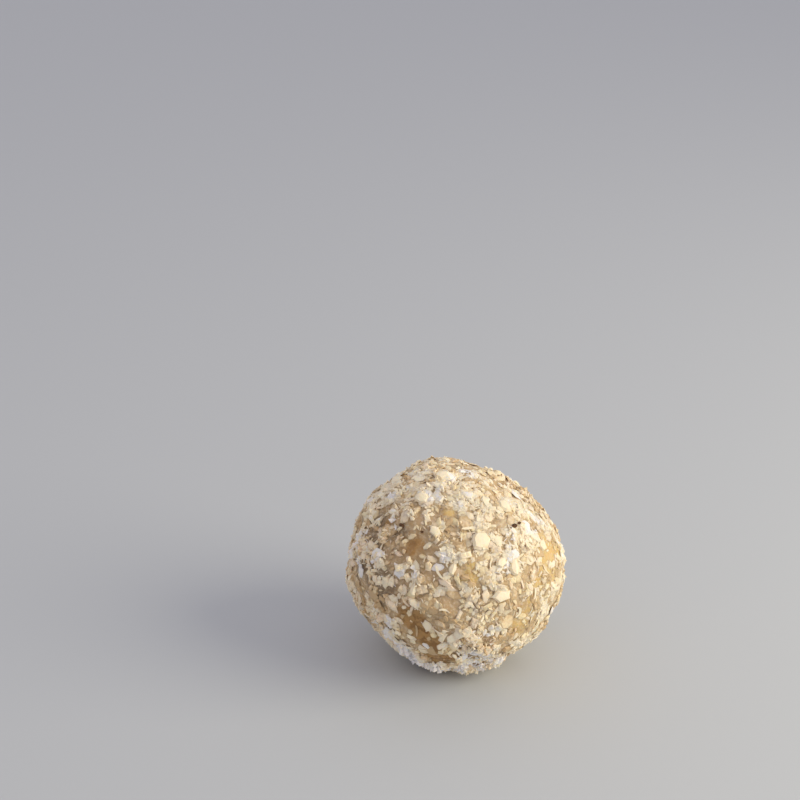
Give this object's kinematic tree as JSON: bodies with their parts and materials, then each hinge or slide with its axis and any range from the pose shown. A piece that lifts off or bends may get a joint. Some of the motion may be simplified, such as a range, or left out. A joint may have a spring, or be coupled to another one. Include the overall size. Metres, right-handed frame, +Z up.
{
  "type": "energy ball",
  "caption": "Hand-rolled ball of sticky golden fruit and nut paste, coated all over with desiccated coconut flakes and resting on a small flat spot. A bite-size sweet.",
  "frame": {"origin": "on the table, under the middle of the ball, at the middle of the flat spot it rests on", "axes": "+Z up, -Y towards the viewer in front, +X to the viewer's right"},
  "size_m": [0.0347, 0.0348, 0.0334],
  "materials": {
    "paste": "moist, grainy golden-tan fruit and nut paste with darker caramel patches",
    "coconut": "dry, slightly translucent cream desiccated coconut",
    "fruit_skin": "dark brown specks of dried fruit skin"
  },
  "bodies": {
    "root": {"energy_ball": "paste"}
  },
  "joints": []
}
